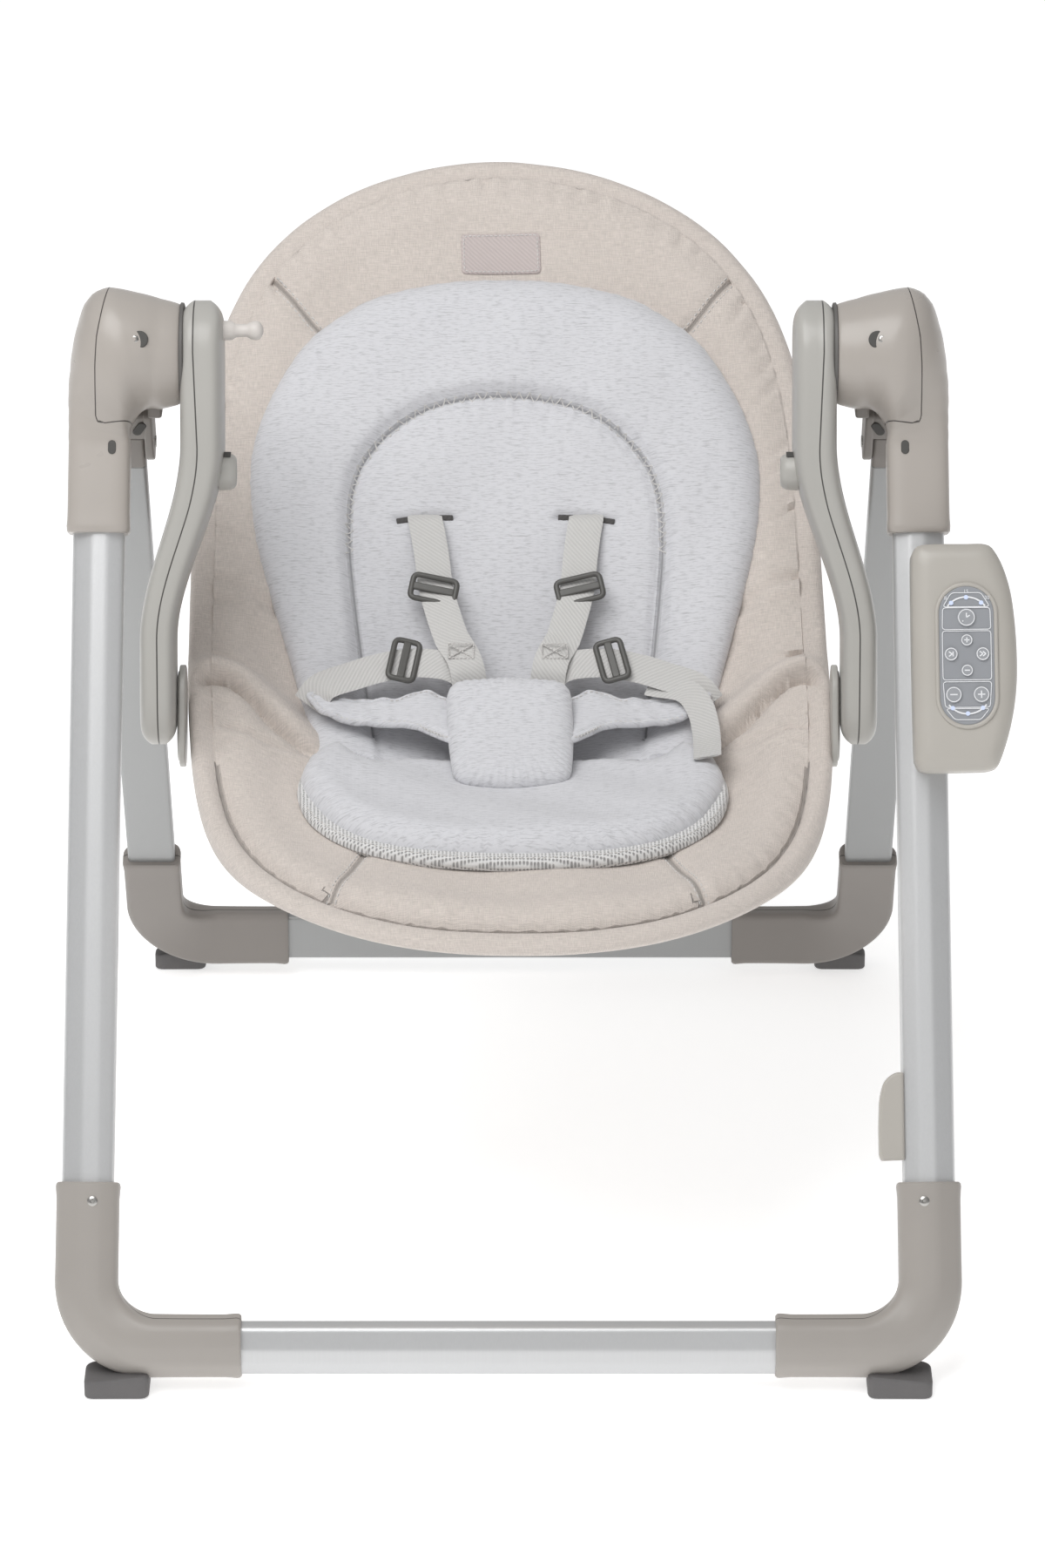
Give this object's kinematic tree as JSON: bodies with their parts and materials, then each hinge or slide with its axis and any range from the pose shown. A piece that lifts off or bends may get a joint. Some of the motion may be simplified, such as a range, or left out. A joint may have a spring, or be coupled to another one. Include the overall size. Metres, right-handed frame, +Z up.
{
  "type": "baby swing",
  "caption": "Folding tube-framed baby swing with a padded reclining bucket seat on two arms, a five-point harness and a keypad box on one leg.",
  "frame": {"origin": "bottom centre of the bounding box, on the floor", "axes": "+Z up, the seat faces -Y, and the control box is on the +X side"},
  "size_m": [0.628, 0.647, 0.6465],
  "materials": {
    "aluminium": "satin anodised",
    "taupe_gloss": "glossy moulded, warm grey",
    "taupe_satin": "satin moulded, warm grey",
    "arm_grey": "satin moulded, green-grey",
    "dark_rubber": "matt",
    "steel": "plain",
    "panel_grey": "printed film",
    "key_grey": "domed under film",
    "linen": "woven linen look, padded",
    "jersey": "melange jersey, padded",
    "webbing": "ribbed 25 mm webbing",
    "buckle_grey": "moulded",
    "circuit": "bare board",
    "cell": "wrapped cells"
  },
  "bodies": {
    "front_frame": {"left_front_leg": "aluminium", "right_front_leg": "aluminium", "left_hub_cover": "taupe_gloss", "left_hub_drum": "taupe_gloss", "right_hub_cover": "taupe_gloss", "right_hub_drum": "taupe_gloss", "left_front_elbow": "taupe_satin", "right_front_elbow": "taupe_satin", "left_front_foot": "dark_rubber", "right_front_foot": "dark_rubber", "front_base_tube": "aluminium", "left_axle": "steel", "right_axle": "steel", "drive_motor": "steel", "left_leg_bracket": "taupe_satin", "right_leg_bracket": "taupe_satin", "left_leg_pin": "steel", "right_leg_pin": "steel", "control_box_front": "taupe_satin", "control_box_back": "taupe_satin", "control_panel": "panel_grey", "circuit_board": "circuit", "loudspeaker": "dark_rubber", "battery_pack": "cell", "battery_door": "taupe_satin", "storage_catch": "taupe_satin"},
    "rear_frame": {"left_rear_leg": "aluminium", "right_rear_leg": "aluminium", "left_rear_elbow": "taupe_satin", "right_rear_elbow": "taupe_satin", "left_rear_foot": "dark_rubber", "right_rear_foot": "dark_rubber", "rear_base_tube": "aluminium"},
    "swing": {"left_arm_outer": "arm_grey", "left_arm_inner": "arm_grey", "right_arm_outer": "arm_grey", "right_arm_inner": "arm_grey", "toy_bar_peg": "arm_grey", "left_seat_plate": "taupe_satin", "right_seat_plate": "taupe_satin", "seat_rail": "steel", "seat_cushion": "linen", "liner_seat": "jersey", "crotch_pad": "jersey", "harness_buckle": "buckle_grey", "waist_strap": "webbing"},
    "backrest": {"back_rail": "steel", "back_cushion": "linen", "liner_back": "jersey", "shoulder_straps": "webbing"},
    "left_fold_button": {"left_fold_button": "taupe_satin"},
    "right_fold_button": {"right_fold_button": "taupe_satin"},
    "recline_lever": {"recline_lever": "taupe_satin"},
    "timer_key": {"timer_key": "key_grey"},
    "volume_up_key": {"volume_up_key": "key_grey"},
    "play_key": {"play_key": "key_grey"},
    "next_key": {"next_key": "key_grey"},
    "volume_down_key": {"volume_down_key": "key_grey"},
    "slower_key": {"slower_key": "key_grey"},
    "faster_key": {"faster_key": "key_grey"}
  },
  "joints": [
    {"name": "swing_on_hubs", "type": "hinge", "parent": "front_frame", "child": "swing", "pos_m": [-0.018, 0.011, 0.601], "axis": [1, 0, 0], "range_deg": [-12, 12]},
    {"name": "recline", "type": "hinge", "parent": "swing", "child": "backrest", "pos_m": [-0.018, -0.074, 0.388], "axis": [1, 0, 0], "range_deg": [0, 20]},
    {"name": "rear_frame_fold", "type": "hinge", "parent": "front_frame", "child": "rear_frame", "pos_m": [-0.018, 0.05195, 0.52254], "axis": [-1, 0, 0], "range_deg": [0, 50]},
    {"name": "recline_lever_pull", "type": "hinge", "parent": "backrest", "child": "recline_lever", "pos_m": [-0.018, 0.24045, 0.5293], "axis": [1, 0, 0], "range_deg": [0, 15], "stiffness_Nm_per_rad": 0.2, "springref_deg": -17.19},
    {"name": "left_fold_button_press", "type": "slide", "parent": "front_frame", "child": "left_fold_button", "axis": [0, 0, 1], "range_m": [0, 0.003], "stiffness_N_per_m": 400, "springref_m": -0.003},
    {"name": "right_fold_button_press", "type": "slide", "parent": "front_frame", "child": "right_fold_button", "axis": [0, 0, 1], "range_m": [0, 0.003], "stiffness_N_per_m": 400, "springref_m": -0.003},
    {"name": "timer_key_press", "type": "slide", "parent": "front_frame", "child": "timer_key", "axis": [0, 0.8724, -0.4889], "range_m": [0, 0.0008], "stiffness_N_per_m": 500, "springref_m": -0.001},
    {"name": "volume_up_key_press", "type": "slide", "parent": "front_frame", "child": "volume_up_key", "axis": [0, 0.8724, -0.4889], "range_m": [0, 0.0008], "stiffness_N_per_m": 500, "springref_m": -0.001},
    {"name": "play_key_press", "type": "slide", "parent": "front_frame", "child": "play_key", "axis": [0, 0.8724, -0.4889], "range_m": [0, 0.0008], "stiffness_N_per_m": 500, "springref_m": -0.001},
    {"name": "next_key_press", "type": "slide", "parent": "front_frame", "child": "next_key", "axis": [0, 0.8724, -0.4889], "range_m": [0, 0.0008], "stiffness_N_per_m": 500, "springref_m": -0.001},
    {"name": "volume_down_key_press", "type": "slide", "parent": "front_frame", "child": "volume_down_key", "axis": [0, 0.8724, -0.4889], "range_m": [0, 0.0008], "stiffness_N_per_m": 500, "springref_m": -0.001},
    {"name": "slower_key_press", "type": "slide", "parent": "front_frame", "child": "slower_key", "axis": [0, 0.8724, -0.4889], "range_m": [0, 0.0008], "stiffness_N_per_m": 500, "springref_m": -0.001},
    {"name": "faster_key_press", "type": "slide", "parent": "front_frame", "child": "faster_key", "axis": [0, 0.8724, -0.4889], "range_m": [0, 0.0008], "stiffness_N_per_m": 500, "springref_m": -0.001}
  ]
}
